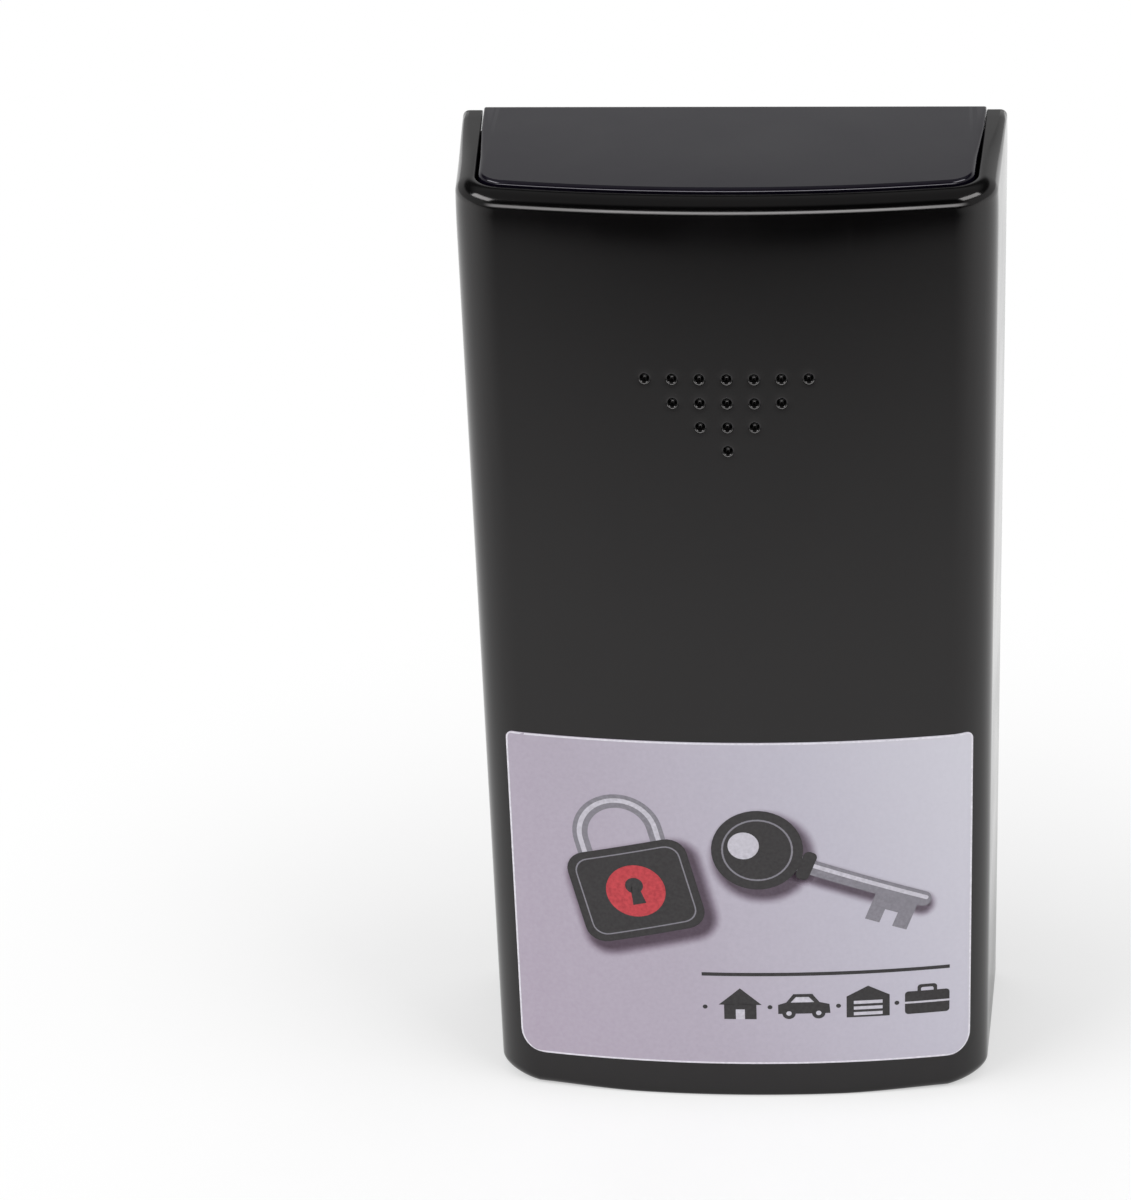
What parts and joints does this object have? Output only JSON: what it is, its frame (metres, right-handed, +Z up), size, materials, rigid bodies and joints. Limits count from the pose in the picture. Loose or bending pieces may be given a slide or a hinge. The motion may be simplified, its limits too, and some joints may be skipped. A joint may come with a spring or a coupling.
{
  "type": "magnetic key holder box",
  "caption": "Slim black plastic box for a hidden spare key: a tray with a two-pole magnet on its back and a bow-fronted cover that slides down off it.",
  "frame": {"origin": "bottom centre of the whole part's box: on the cover's underside, midway across the width and midway between the label's crown and the magnet's contact edges", "axes": "+Z up, towards the closed top panel; the tray slides out of the cover along +Z; +Y towards the magnet, away from the bowed front; +X to the right as seen from the bowed front"},
  "size_m": [0.0576, 0.0324, 0.1084],
  "materials": {
    "cover_plastic": "satin black moulded plastic",
    "tray_plastic": "glossy black moulded plastic",
    "label_film": "semi-gloss printed film",
    "ferrite": "ground dark grey ferrite",
    "pole_steel": "yellow zinc plated steel"
  },
  "bodies": {
    "cover_body": {"cover": "cover_plastic", "label": "label_film"},
    "base_body": {"base": "tray_plastic", "ferrite_magnet": "ferrite", "pole_plate_left": "pole_steel", "pole_plate_right": "pole_steel"}
  },
  "joints": [
    {"name": "tray_slide", "type": "slide", "parent": "cover_body", "child": "base_body", "axis": [0, 0, 1], "range_m": [0, 0.112]}
  ]
}
